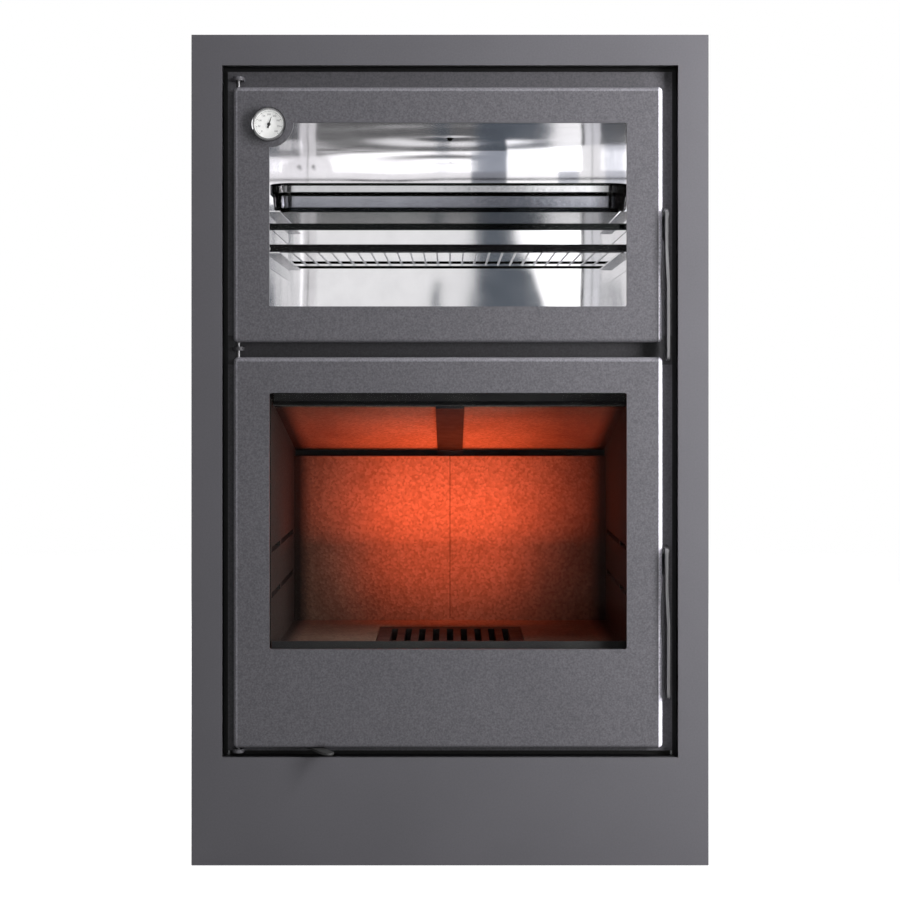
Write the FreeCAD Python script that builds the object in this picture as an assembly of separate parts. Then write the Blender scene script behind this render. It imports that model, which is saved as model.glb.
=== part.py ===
import FreeCAD, Part
import math
import os

# Wood-burning fireplace insert with an oven over the firebox, in millimetres.
# +X is to the right, +Y into the wall and +Z up.
# Depths (Y) are written from the front of the trim frame. Each finished solid is then moved back so that
# the origin lies at the centre of the underside of the casing base.

# Trim frame
trim_width = 724.0
trim_height = 1163.0
trim_border = 42.5
trim_skirt = 151.0
trim_sheet = 2.0
trim_outer_return = 22.0
trim_lip_gap = 0.3

# Face plate, seen inside the trim frame with a shadow gap round it
shadow_gap = 6.0
face_sheet = 5.0

# Doors
door_margin_left = 10.7
door_margin_right = 16.3
door_margin_bottom = 8.0
door_margin_top = 25.0
door_gap = 21.0
fire_door_height = 546.5
door_proud = 4.0
door_thickness = 18.0
door_standoff = 6.0
door_corner = 6.0
door_edge_radius = 5.0

# Door windows and their glass
window_rail = 50.0
fire_lower_rail = 138.0
window_corner = 3.0
glass_lip = 6.0
glass_lap = 13.0
glass_play = 1.0
glass_thickness = 4.0
gasket_thickness = 1.0
gasket_setback = 2.0

# Glass clips
clip_sheet = 2.0
clip_foot = 9.0
clip_flange = 6.0
clip_play = 0.3
clip_length = 30.0
clip_spread = 0.5

# Rope seals
seal_margin = 16.0
seal_width = 12.0
seal_groove = 4.0
seal_play = 0.2
seal_gap = 0.3
seal_bevel = 3.5
seal_landing = 4.0

# Hinges at the left edge
hinge_inset = 5.5
hinge_behind_front = 12.0
hinge_pin_radius = 2.75
hinge_running_fit = 0.05
hinge_pin_reach = 25.0
hinge_end_play = 1.0
ear_radius = 8.0
ear_thickness = 5.0
ear_gap_top = 10.5
ear_gap_middle = 9.5
ear_gap_bottom = 3.0
fixed_fit = 0.02

# Blade handles at the right edge
handle_gap = 2.8
handle_thickness = 4.0
handle_offset = 2.4
handle_width = 22.0
handle_rear = 3.0
handle_rise = 8.0
handle_straight = 50.0
handle_slant = 50.0
handle_lower = 104.0
handle_corner = 7.0
spindle_radius = 4.0
spindle_running_fit = 0.05
spindle_reach = 24.0
spindle_end_play = 1.0
spindle_head_radius = 6.5
spindle_head_height = 2.5
scallop_drop = 87.0
scallop_length = 92.0
scallop_depth = 2.75

# Latch hooks and keepers
hook_half_height = 6.0
hook_nose_rise = 16.0
hook_nose_width = 8.0
latch_gap = 0.3
latch_slot_rise = 8.0
latch_slot_drop = 34.0
latch_slot_side = 3.0
keeper_sheet = 2.2
keeper_height = 18.0
keeper_overlap = 3.0

# Dial thermometer, centred on the upper left corner of the oven window
lobe_radius = 34.0
dial_case_radius = 23.5
dial_drop = 3.0
dial_case_wall = 3.0
dial_case_depth = 10.0
dial_back = 2.5
lens_setback = 1.0
dial_sheet = 0.6
dial_play = 0.1
dial_bevel = 1.2
dial_hole_play = 0.3
lens_thickness = 1.5
needle_sheet = 0.6
needle_gap = 0.8
needle_length = 11.0
needle_tail = 5.5
needle_half_width = 1.3
needle_hub_radius = 2.4
needle_shaft_radius = 0.8
needle_running_fit = 0.05
needle_rest_angle = 18.0
stem_radius = 3.0
stem_length = 62.0
stem_nut_radius = 8.0
stem_nut_height = 3.0

# Oven
oven_depth = 400.0
oven_sheet = 2.0
smoke_gap_side = 21.0
smoke_gap_back = 23.0
runner_sheet = 1.5
runner_drop = 18.0
runner_ledge = 22.0
runner_start = 25.0
runner_end = 12.0
front_bar_height = 9.5
front_bar_sheet = 3.0
tray_top_below_ceiling = 95.0
tray_height = 41.0
tray_front = 35.0
tray_length = 295.0
tray_side_gap = 4.0
tray_band = 13.0
tray_step = 4.0
tray_step_height = 5.0
tray_sheet = 1.5
tray_draft = 1.5
tray_corner = 34.0
tray_bevel = 6.0
rack_below_tray = 59.0
rack_bar_radius = 2.25
rack_wire_radius = 1.5
rack_wire_sides = 8
rack_pitch = 19.4
rack_front = 32.0
rack_length = 345.0
rack_side_gap = 2.0
rack_bar_inset = 6.0
rack_seat_gap = 0.1
ceiling_bolt_depth = 251.0
ceiling_bolt_radius = 5.4
ceiling_bolt_tip_radius = 2.8
ceiling_bolt_height = 5.2
ceiling_bolt_shank = 3.0

# Welded body
body_sheet = 4.0
smoke_gap_top = 38.0
leg_width = 30.0
leg_sheet = 4.0
leg_inset = 5.0
leg_setback = 30.0

# Outer casing
casing_sheet = 2.0
base_sheet = 3.0
convection_gap_back = 14.0
apron_setback = 18.0
apron_gap = 8.0

# Flue collar and air inlet spigot
flue_radius = 75.0
flue_wall = 3.0
flue_flange = 16.0
flue_flange_sheet = 3.0
flue_height = 50.0
flue_depth = 275.0
flue_clearance = 4.0
flue_ledge = 3.0
inlet_radius = 50.0
inlet_wall = 1.5
inlet_flange = 12.0
inlet_length = 50.0
inlet_height = 95.0
inlet_flange_sheet = 2.0

# Firebox
lining_thickness = 28.0
lining_air_gap = 6.0
lining_setback = 8.0
lining_seam = 1.0
floor_drop = 13.0
floor_thickness = 25.0
floor_setback = 3.0
air_slot_height = 8.0
air_slot_front = 12.0
air_slot_front_length = 130.0
air_slot_rear_length = 200.0
air_slot_bridge = 15.0
air_slot_upper_rise = 147.0
air_slot_lower_rise = 82.0
baffle_setback = 70.0
baffle_below_lintel = 38.5
baffle_slope = 12.0
baffle_thickness = 25.0
rear_slot_height = 9.0
bracket_width = 41.0
bracket_sheet = 3.0
bracket_hook = 15.0
lip_height = 20.0
lip_sheet = 4.0
lip_foot = 16.0
deflector_sheet = 2.0
deflector_flange = 40.0
deflector_depth = 35.0
deflector_drop = 40.0
deflector_lip = 16.0
deflector_lip_drop = 5.0
deflector_lift = 10.0
deflector_side_gap = 2.0

# Grate, ash chamber and ash pan
grate_width = 220.0
grate_length = 220.0
grate_thickness = 18.0
grate_ledge = 12.0
grate_play = 1.5
grate_slots = 9
grate_slot_width = 10.0
grate_slot_margin = 24.0
ash_chamber_width = 350.0
ash_chamber_sheet = 3.0
ash_chamber_length = 372.0
ash_pan_play = 6.0
ash_pan_sheet = 1.5
ash_pan_head = 14.0
ash_pan_corner = 12.0
ash_pan_grip = 8.0
ash_pan_grip_drop = 12.0
ash_pan_grip_width = 160.0

# Air lever under the fire door
lever_gap = 1.0
lever_thickness = 3.0
lever_width = 16.0
lever_length = 120.0
lever_angle = 30.0
lever_swing = 45.0
lever_pivot_from_left = 88.5
lever_pivot_behind_face = 45.0
lever_slot_clearance = 0.6
lever_slot_side = 5.0
lever_hub_radius = 9.0
pivot_radius = 4.0
pivot_running_fit = 0.05
pivot_head_radius = 7.0
pivot_head_height = 3.5
shutter_sheet = 2.0
shutter_radius = 19.0
shutter_hub_reach = 12.0
shutter_web = 18.0
shutter_reach = 40.0
shutter_gap = 0.3
port_radius = 14.0

# Brackets that hold the trim frame to the casing
trim_clip_sheet = 2.0
trim_clip_height = 40.0
trim_clip_leg = 40.0
trim_clip_reach = 31.0
trim_clip_foot = 15.0
trim_clip_setback = 6.0
trim_clip_end = 120.0

# Face plate and door limits
trim_half = trim_width / 2
opening_half = trim_half - trim_border
opening_low = trim_skirt
opening_high = trim_height - trim_border
face_half = opening_half - shadow_gap
face_low = opening_low + shadow_gap
face_high = opening_high - shadow_gap
door_left = -face_half + door_margin_left
door_right = face_half - door_margin_right
fire_door_low = face_low + door_margin_bottom
fire_door_high = fire_door_low + fire_door_height
oven_door_low = fire_door_high + door_gap
oven_door_high = face_high - door_margin_top
door_front = -door_proud
door_back = door_front + door_thickness
face_front = door_back + door_standoff
face_back = face_front + face_sheet

# Mouths of the oven and the firebox in the face plate
mouth_inset = seal_margin + seal_width + seal_landing
mouth_half = door_right - mouth_inset
oven_mouth_low = oven_door_low + mouth_inset
oven_mouth_high = oven_door_high - mouth_inset
fire_mouth_low = fire_door_low + mouth_inset
fire_mouth_high = fire_door_high - mouth_inset

# Windows
window_left = door_left + window_rail
window_right = door_right - window_rail
oven_window_low = oven_door_low + window_rail
oven_window_high = oven_door_high - window_rail
fire_window_low = fire_door_low + fire_lower_rail
fire_window_high = fire_door_high - window_rail
lip_back = door_front + glass_lip
glass_front = lip_back + gasket_thickness
glass_back = glass_front + glass_thickness

# Hinge axis and handle pivots
hinge_x = door_left + hinge_inset
hinge_y = door_front + hinge_behind_front
pivot_y = door_front + door_thickness / 2
oven_pivot_z = (oven_door_low + oven_door_high) / 2
fire_pivot_z = (fire_door_low + fire_door_high) / 2
handle_inner = door_right + handle_gap
handle_outer = handle_inner + handle_thickness
keeper_back = face_back + keeper_sheet

# Depths and widths of the oven, the body and the casing
oven_back = face_back + oven_depth
body_half = mouth_half + oven_sheet + smoke_gap_side
body_back = oven_back + oven_sheet + smoke_gap_back
casing_inner_back = body_back + body_sheet + convection_gap_back
casing_back = casing_inner_back + casing_sheet
casing_inner_half = face_half - casing_sheet
casing_inner_top = face_high - casing_sheet
body_floor_top = fire_mouth_low
body_floor_low = body_floor_top - body_sheet
body_ceiling = oven_mouth_high + oven_sheet + smoke_gap_top
body_top = body_ceiling + body_sheet
origin_depth = (face_back + casing_back) / 2

# Firebox levels
floor_top = fire_window_low - floor_drop
floor_low = floor_top - floor_thickness
lining_outer = body_half - lining_air_gap
lining_half = lining_outer - lining_thickness
lining_back_rear = body_back - lining_air_gap
lining_back_face = lining_back_rear - lining_thickness
lining_front = face_back + lining_setback
baffle_front = face_back + baffle_setback
baffle_front_z = fire_mouth_high - baffle_below_lintel
baffle_fall = math.tan(math.radians(baffle_slope))
baffle_rise = baffle_thickness / math.cos(math.radians(baffle_slope))

# Air lever levels and pivot
lever_x = -face_half + lever_pivot_from_left
lever_y = face_back + lever_pivot_behind_face
lever_top = fire_door_low - lever_gap
lever_low = lever_top - lever_thickness
shutter_top = body_floor_low - shutter_gap
shutter_low = shutter_top - shutter_sheet

Vector = FreeCAD.Vector
RIGHT = Vector(1, 0, 0)
BACK = Vector(0, 1, 0)
UP = Vector(0, 0, 1)
through = 1.0
tolerance = 1e-6
full_turn = 360.0
hexagon_sides = 6


def save(node, shapes):
    """Write one node, moved so that the origin is at the centre of the base."""
    solids = shapes if isinstance(shapes, list) else [shapes]
    shape = solids[0] if len(solids) == 1 else Part.makeCompound(solids)
    shape = shape.copy()
    shape.translate(Vector(0, -origin_depth, 0))
    shape.exportStep("parts/" + node + ".step")


def box(x, y, z):
    """Block between pairs of limits."""
    return Part.makeBox(x[1] - x[0], y[1] - y[0], z[1] - z[0], Vector(x[0], y[0], z[0]))


def polygon_prism(corners, run):
    """Closed outline of 3-D corners, extruded along a vector."""
    wire = Part.makePolygon(corners + [corners[0]])
    return Part.Face(wire).extrude(run)


def prism_x(outline, x):
    """Outline of (depth, height) points, extruded between two x limits."""
    corners = [Vector(x[0], depth, height) for depth, height in outline]
    return polygon_prism(corners, RIGHT * (x[1] - x[0]))


def prism_y(outline, y):
    """Outline of (x, height) points, extruded between two depths."""
    corners = [Vector(across, y[0], height) for across, height in outline]
    return polygon_prism(corners, BACK * (y[1] - y[0]))


def prism_z(outline, z):
    """Outline of (x, depth) points, extruded between two heights."""
    corners = [Vector(across, depth, z[0]) for across, depth in outline]
    return polygon_prism(corners, UP * (z[1] - z[0]))


def bent_strip(path, thickness):
    """Outline of a bent sheet: the path and its offset to the left, with mitred bends."""
    normals = []
    for start, end in zip(path, path[1:]):
        length = math.hypot(end[0] - start[0], end[1] - start[1])
        normals.append(((start[1] - end[1]) / length, (end[0] - start[0]) / length))
    offset = []
    for index, point in enumerate(path):
        before = normals[max(index - 1, 0)]
        after = normals[min(index, len(normals) - 1)]
        scale = thickness / (1 + before[0] * after[0] + before[1] * after[1])
        offset.append((point[0] + (before[0] + after[0]) * scale, point[1] + (before[1] + after[1]) * scale))
    return path + offset[::-1]


def edges_along(shape, direction):
    """Straight edges of a shape that run along a direction."""
    chosen = []
    for edge in shape.Edges:
        run = edge.Vertexes[-1].Point - edge.Vertexes[0].Point
        if run.Length > 0 and run.cross(direction).Length < run.Length * tolerance:
            chosen.append(edge)
    return chosen


def edges_at_depth(shape, depth):
    """Edges that lie wholly at one depth."""
    upright = [edge for edge in shape.Edges if edge.BoundBox.YLength < tolerance]
    return [edge for edge in upright if abs(edge.BoundBox.YMin - depth) < tolerance]


def grown(limits, amount):
    """Pair of limits moved apart by an amount on each side."""
    return (limits[0] - amount, limits[1] + amount)


def rod(start, run, radius):
    """Round bar from a point along a vector."""
    return Part.makeCylinder(radius, run.Length, start, run)


def drill(start, run, radius):
    """Round cutter from a point along a vector, carried a little past both ends."""
    past = run * (through / run.Length)
    return rod(start - past, run + past * 2, radius)


def sided_bar(start, run, radius, sides):
    """Bar of a regular many-sided section, from a point along a vector. A level bar has an edge on top."""
    first = RIGHT if run.cross(UP).Length < tolerance else UP
    second = run.cross(first).normalize()
    corners = []
    for step in range(sides):
        angle = math.radians(full_turn * step / sides)
        corners.append(start + first * (radius * math.cos(angle)) + second * (radius * math.sin(angle)))
    return polygon_prism(corners, run)


def turned(profile, base, axis):
    """Solid of revolution from (radius, height) points about an axis through base."""
    wire = Part.makePolygon([Vector(r, 0, h) for r, h in profile + [profile[0]]])
    solid = Part.Face(wire).revolve(Vector(0, 0, 0), UP, full_turn)
    solid.Placement = FreeCAD.Placement(base, FreeCAD.Rotation(UP, axis))
    return solid


def mirrored(shape):
    """The same piece on the other side of the middle plane."""
    return shape.mirror(Vector(0, 0, 0), RIGHT)


def ring(x, z, y, width):
    """Rectangular ring seen from the front: outer limits and width of its band."""
    return box(x, y, z).cut(box(grown(x, -width), grown(y, through), grown(z, -width)))


# Trim frame and its brackets
def make_trim():
    frame_x = (-trim_half, trim_half)
    frame_z = (0, trim_height)
    opening_x = (-opening_half, opening_half)
    opening_z = (opening_low, opening_high)
    shell = box(frame_x, (0, trim_outer_return), frame_z)
    hollow = box(grown(frame_x, -trim_sheet), (trim_sheet, trim_outer_return), grown(frame_z, -trim_sheet))
    lip_y = (face_back + trim_lip_gap, face_back + trim_lip_gap + trim_sheet)
    inner_wall = box(grown(opening_x, trim_sheet), (0, lip_y[1]), grown(opening_z, trim_sheet))
    opening = box(opening_x, (-through, lip_y[0]), opening_z)
    lip_hole_x = grown((-face_half, face_half), trim_lip_gap)
    lip_hole = box(lip_hole_x, (-through, lip_y[1] + through), grown((face_low, face_high), trim_lip_gap))
    frame = shell.cut(hollow).fuse(inner_wall).cut(opening).cut(lip_hole)
    # The lower lip is notched for the casing sides, which run down past it.
    notch_z = (opening_low - trim_sheet - trim_lip_gap, face_high)
    notch_x = grown((casing_inner_half, face_half), trim_lip_gap)
    notch = box(notch_x, (face_front, lip_y[1] + through), notch_z)
    save("trim_frame", frame.cut(notch).cut(mirrored(notch)).removeSplitter())

    bend_y = face_back + trim_clip_setback
    reach_x = face_half + trim_clip_reach
    foot_y = trim_sheet + trim_clip_sheet
    path = [
        (face_half, bend_y + trim_clip_leg),
        (face_half, bend_y),
        (reach_x, bend_y),
        (reach_x, foot_y),
        (reach_x - trim_clip_foot, foot_y),
    ]
    outline = bent_strip(path, trim_clip_sheet)
    brackets = []
    for level in (trim_clip_end, trim_height / 2, trim_height - trim_clip_end):
        right = prism_z(outline, (level - trim_clip_height / 2, level + trim_clip_height / 2))
        brackets += [right, mirrored(right)]
    save("trim_brackets", brackets)


# Face plate with its mouths, latch slots and lever slot
def make_face_plate():
    plate = box((-face_half, face_half), (face_front, face_back), (face_low, face_high))
    cut_y = (face_front - through, face_back + through)
    mouth_x = (-mouth_half, mouth_half)
    plate = plate.cut(box(mouth_x, cut_y, (oven_mouth_low, oven_mouth_high)))
    plate = plate.cut(box(mouth_x, cut_y, (fire_mouth_low, fire_mouth_high)))
    slot_x = (handle_inner - latch_slot_side, handle_outer + latch_slot_side)
    keepers = []
    for pivot_z in (oven_pivot_z, fire_pivot_z):
        slot_top = pivot_z + latch_slot_rise
        plate = plate.cut(box(slot_x, cut_y, (pivot_z - latch_slot_drop, slot_top)))
        keeper_z = (slot_top, slot_top + keeper_height)
        keepers.append(box(grown(slot_x, keeper_overlap), (face_back, keeper_back), keeper_z))
    save("latch_keepers", keepers)
    save("face_plate", plate.cut(lever_slot(cut_y)))


# Hinge ears and pins
def make_hinges():
    ears = []
    pins = []
    ear_x = grown((hinge_x, hinge_x), ear_radius)
    bottom_low = fire_door_low - ear_gap_bottom - ear_thickness
    middle_low = fire_door_high + ear_gap_middle
    top_low = oven_door_high + ear_gap_top
    spans = [
        (bottom_low, bottom_low, fire_door_low + hinge_pin_reach),
        (middle_low, fire_door_high - hinge_pin_reach, oven_door_low + hinge_pin_reach),
        (top_low, oven_door_high - hinge_pin_reach, top_low + ear_thickness),
    ]
    for low, pin_low, pin_high in spans:
        base = Vector(hinge_x, hinge_y, low)
        root = box(ear_x, (hinge_y, face_front), (low, low + ear_thickness))
        nose = rod(base, UP * ear_thickness, ear_radius)
        hole = drill(base, UP * ear_thickness, hinge_pin_radius + fixed_fit)
        ears.append(root.fuse(nose).removeSplitter().cut(hole))
        pins.append(rod(Vector(hinge_x, hinge_y, pin_low), UP * (pin_high - pin_low), hinge_pin_radius))
    save("hinge_ears", ears)
    save("hinge_pins", pins)


# Parts that both doors have
def window_cutter(window_z, lap, depths, lobe):
    """Window opening, or the square-cut pane a lap larger, less the round lobe that carries the dial."""
    window_x = (window_left, window_right)
    cutter = box(grown(window_x, lap), depths, grown(window_z, lap))
    if not lap:
        cutter = cutter.makeFillet(window_corner, edges_along(cutter, BACK))
    return cutter.cut(lobe_rod(lobe - lap, depths)) if lobe else cutter


def lobe_rod(radius, depths):
    """Round bar at the upper left corner of the oven window, where the dial sits."""
    return rod(Vector(window_left, depths[0], oven_window_high), BACK * (depths[1] - depths[0]), radius)


def dial_center(depth):
    """Point on the dial's axis, which lies a little lower than the lobe's."""
    return Vector(window_left, depth, oven_window_high - dial_drop)


def stem_hole(depths):
    """Cutter for the thermometer's stem through what lies between two depths."""
    return drill(dial_center(depths[0]), BACK * (depths[1] - depths[0]), stem_radius + fixed_fit)


def make_door(name, door_z, window_z, pivot_z, lobe):
    door_x = (door_left, door_right)
    slab = box(door_x, (door_front, door_back), door_z)
    slab = slab.makeFillet(door_corner, edges_along(slab, BACK))
    slab = slab.makeFillet(door_edge_radius, edges_at_depth(slab, door_front))
    slab = slab.cut(window_cutter(window_z, 0, (door_front - through, door_back + through), lobe))
    slab = slab.cut(window_cutter(window_z, glass_lap + glass_play, (lip_back, door_back + through), lobe))
    seal_x = grown(door_x, -seal_margin)
    seal_z = grown(door_z, -seal_margin)
    groove_y = (door_back - seal_groove, door_back + through)
    slab = slab.cut(ring(seal_x, seal_z, groove_y, seal_width))
    pin_bore = hinge_pin_reach + hinge_end_play
    bore_radius = hinge_pin_radius + hinge_running_fit
    for bore_low in (door_z[0] - through, door_z[1] - pin_bore):
        bore = rod(Vector(hinge_x, hinge_y, bore_low), UP * (pin_bore + through), bore_radius)
        slab = slab.cut(bore)
    spindle_bore = spindle_reach + spindle_end_play
    spindle_start = Vector(door_right - spindle_bore, pivot_y, pivot_z)
    spindle_hole_radius = spindle_radius + spindle_running_fit
    slab = slab.cut(rod(spindle_start, RIGHT * (spindle_bore + through), spindle_hole_radius))
    scallop_radius = ((scallop_length / 2) ** 2 + scallop_depth ** 2) / (2 * scallop_depth)
    scallop_x = door_right - scallop_depth + scallop_radius
    scallop_center = Vector(scallop_x, door_front, pivot_z - scallop_drop)
    slab = slab.cut(drill(scallop_center, BACK * door_thickness, scallop_radius))
    if lobe:
        slab = slab.cut(stem_hole((door_front, door_back)))
    save(name + "_door_frame", slab)

    save(name + "_glass", window_cutter(window_z, glass_lap, (glass_front, glass_back), lobe))
    gasket = window_cutter(window_z, glass_lap, (lip_back, glass_front), lobe)
    gasket_hole_y = grown((lip_back, glass_front), through)
    gasket = gasket.cut(window_cutter(window_z, gasket_setback, gasket_hole_y, lobe))
    save(name + "_glass_gasket", gasket)
    save(name + "_glass_clips", glass_clips(window_z))

    rope_x = grown(seal_x, -seal_play)
    rope_z = grown(seal_z, -seal_play)
    rope_y = (door_back - seal_groove, face_front - seal_gap)
    rope = ring(rope_x, rope_z, rope_y, seal_width - 2 * seal_play)
    save(name + "_door_seal", rope.makeChamfer(seal_bevel, edges_at_depth(rope, rope_y[1])))


def glass_clips(window_z):
    """Bent clips on the back of a door: a foot on the glass, a riser and a flange on the slab."""
    pocket = glass_lap + glass_play
    path = [
        (clip_flange, door_back),
        (-clip_play, door_back),
        (-clip_play, glass_back),
        (-clip_foot, glass_back),
    ]
    outline = bent_strip(path[::-1], clip_sheet)
    middle = Vector((window_left + window_right) / 2, 0, (window_z[0] + window_z[1]) / 2)
    half_width = (window_right - window_left) / 2 + pocket
    half_height = (window_z[1] - window_z[0]) / 2 + pocket
    clips = []
    for turn, reach, along in ((0, half_width, half_height), (full_turn / 4, half_height, half_width)):
        for side in (turn, turn + full_turn / 2):
            for offset in (-along * clip_spread, along * clip_spread):
                clip = prism_z(outline, (offset - clip_length / 2, offset + clip_length / 2))
                clip.translate(RIGHT * reach)
                clip.rotate(Vector(0, 0, 0), BACK, side)
                clip.translate(middle)
                clips.append(clip)
    return clips


# Blade handle with its latch hook, and the spindle it turns on
def make_handle(name, pivot_z):
    straight_end = pivot_z - handle_straight
    slant_end = straight_end - handle_slant
    low = slant_end - handle_lower
    high = pivot_z + handle_rise
    path = [
        (handle_outer + handle_offset, low),
        (handle_outer + handle_offset, slant_end),
        (handle_outer, straight_end),
        (handle_outer, high),
    ]
    strip_y = (pivot_y + handle_rear - handle_width, keeper_back + latch_gap + hook_nose_width)
    strip = prism_y(bent_strip(path, handle_thickness), strip_y)
    nose_z = (high - through, pivot_z + hook_nose_rise)
    strip = strip.fuse(box((handle_inner, handle_outer), strip_y, nose_z))
    blade_x = (handle_inner - through, handle_outer + handle_offset + through)
    blade = box(blade_x, (strip_y[0], pivot_y + handle_rear), (low, high))
    blade = blade.makeFillet(handle_corner, edges_along(blade, RIGHT))
    nose_front = keeper_back + latch_gap
    hook = [
        (pivot_y, pivot_z - hook_half_height),
        (strip_y[1], pivot_z - hook_half_height),
        (strip_y[1], pivot_z + hook_nose_rise),
        (nose_front, pivot_z + hook_nose_rise),
        (nose_front, pivot_z + hook_half_height),
        (pivot_y, pivot_z + hook_half_height),
    ]
    side = blade.fuse(prism_x(hook, blade_x))
    pivot = Vector(handle_inner, pivot_y, pivot_z)
    spindle_hole = drill(pivot, RIGHT * handle_thickness, spindle_radius + fixed_fit)
    save(name + "_handle", side.common(strip).removeSplitter().cut(spindle_hole))

    head = handle_gap + handle_thickness
    profile = [
        (0, -spindle_reach),
        (spindle_radius, -spindle_reach),
        (spindle_radius, head),
        (spindle_head_radius, head),
        (spindle_head_radius, head + spindle_head_height),
        (0, head + spindle_head_height),
    ]
    save(name + "_handle_spindle", turned(profile, Vector(door_right, pivot_y, pivot_z), RIGHT))


# Dial thermometer in the oven door
def make_thermometer():
    center = dial_center(door_front)
    forward = -BACK
    inner = dial_case_radius - dial_case_wall
    lens_front = dial_case_depth - lens_setback
    shaft_bore = needle_shaft_radius + needle_running_fit
    case = [
        (shaft_bore, 0),
        (dial_case_radius, 0),
        (dial_case_radius, dial_case_depth - dial_bevel),
        (dial_case_radius - dial_bevel, dial_case_depth),
        (inner, dial_case_depth),
        (inner, dial_back),
        (shaft_bore, dial_back),
    ]
    save("thermometer_case", turned(case, center, forward))

    dial_front = dial_back + dial_sheet
    dial_hole = needle_shaft_radius + dial_hole_play
    dial_edge = inner - dial_play
    dial = [(dial_hole, dial_back), (dial_edge, dial_back), (dial_edge, dial_front), (dial_hole, dial_front)]
    save("thermometer_dial", turned(dial, center, forward))
    lens_back = lens_front - lens_thickness
    lens = [(0, lens_back), (dial_edge, lens_back), (dial_edge, lens_front), (0, lens_front)]
    save("thermometer_lens", turned(lens, center, forward))

    needle_back = dial_front + needle_gap
    needle_front = needle_back + needle_sheet
    pointer_outline = [
        (-needle_half_width, -needle_tail),
        (needle_half_width, -needle_tail),
        (needle_sheet / 2, needle_length),
        (-needle_sheet / 2, needle_length),
    ]
    pointer = prism_y(pointer_outline, (-needle_front, -needle_back))
    pointer.rotate(Vector(0, 0, 0), BACK, needle_rest_angle)
    pointer.translate(center)
    hub_profile = [
        (0, dial_play),
        (needle_shaft_radius, dial_play),
        (needle_shaft_radius, needle_back),
        (needle_hub_radius, needle_back),
        (needle_hub_radius, needle_front + needle_sheet),
        (0, needle_front + needle_sheet),
    ]
    save("thermometer_needle", pointer.fuse(turned(hub_profile, center, forward)).removeSplitter())

    save("thermometer_stem", rod(center, BACK * stem_length, stem_radius))
    nut_y = (door_back, door_back + stem_nut_height)
    nut = sided_bar(dial_center(door_back), BACK * stem_nut_height, stem_nut_radius, hexagon_sides)
    save("thermometer_nut", nut.cut(stem_hole(nut_y)))


# Oven box with its runners, tray, rack and ceiling bolt
def make_oven():
    inner_x = (-mouth_half, mouth_half)
    inner_z = (oven_mouth_low, oven_mouth_high)
    outer = box(grown(inner_x, oven_sheet), (face_back, oven_back + oven_sheet), grown(inner_z, oven_sheet))
    shell = outer.cut(box(inner_x, (face_back - through, oven_back), inner_z))
    bolt_base = Vector(0, face_back + ceiling_bolt_depth, oven_mouth_high)
    save("oven_box", shell.cut(drill(bolt_base, UP * oven_sheet, ceiling_bolt_shank + fixed_fit)))

    head = Part.makeCone(ceiling_bolt_radius, ceiling_bolt_tip_radius, ceiling_bolt_height, bolt_base, -UP)
    save("oven_ceiling_bolt", head.fuse(rod(bolt_base, UP * (oven_sheet + through), ceiling_bolt_shank)))

    tray_top = oven_mouth_high - tray_top_below_ceiling
    tray_low = tray_top - tray_height
    rack_seat = tray_low - rack_below_tray
    runner_y = (face_back + runner_start, oven_back - runner_end)
    runners = []
    for seat in (tray_low, rack_seat):
        path = [(mouth_half, seat - runner_drop), (mouth_half, seat), (mouth_half - runner_ledge, seat)]
        right = prism_y(bent_strip(path, runner_sheet), runner_y)
        runners += [right, mirrored(right)]
    bar_y = (runner_y[0], runner_y[0] + front_bar_sheet)
    bar_top = tray_low - runner_drop
    runners.append(box(inner_x, bar_y, (bar_top - front_bar_height, bar_top)))
    save("oven_runners", runners)
    make_tray(tray_low, tray_top)
    make_rack(rack_seat + rack_seat_gap)


def round_rect(x, y, z, radius):
    """Horizontal rounded rectangle at one height, as a wire."""
    block = box(x, y, (z, z + through))
    block = block.makeFillet(radius, edges_along(block, UP))
    level = [face for face in block.Faces if face.BoundBox.ZLength < tolerance]
    return min(level, key=lambda face: face.BoundBox.ZMin).OuterWire


def tray_form(low, step_z, top, inset):
    """The tray's form, set in by an amount: upright band, step in, narrowing wall and bevelled bottom."""
    half = mouth_half - tray_side_gap - inset
    front = face_back + tray_front
    corner = tray_corner - inset
    band_x = (-half, half)
    band_y = grown((front, front + tray_length), -inset)
    band = box(band_x, band_y, (step_z, top))
    band = band.makeFillet(corner, edges_along(band, UP))
    wall_inset = tray_step + tray_draft
    levels = [
        (low, wall_inset + tray_bevel),
        (low + tray_bevel, wall_inset),
        (step_z - tray_step_height, tray_step),
        (step_z, 0),
    ]
    sections = []
    for height, narrowing in levels:
        section_x = grown(band_x, -narrowing)
        section_y = grown(band_y, -narrowing)
        sections.append(round_rect(section_x, section_y, height, corner - narrowing))
    return band.fuse(Part.makeLoft(sections, True, True))


def make_tray(low, top):
    step_z = top - tray_band
    outside = tray_form(low, step_z, top, 0)
    hollow = tray_form(low + tray_sheet, step_z + tray_sheet, top + through, tray_sheet)
    save("oven_tray", outside.cut(hollow).removeSplitter())


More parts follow.
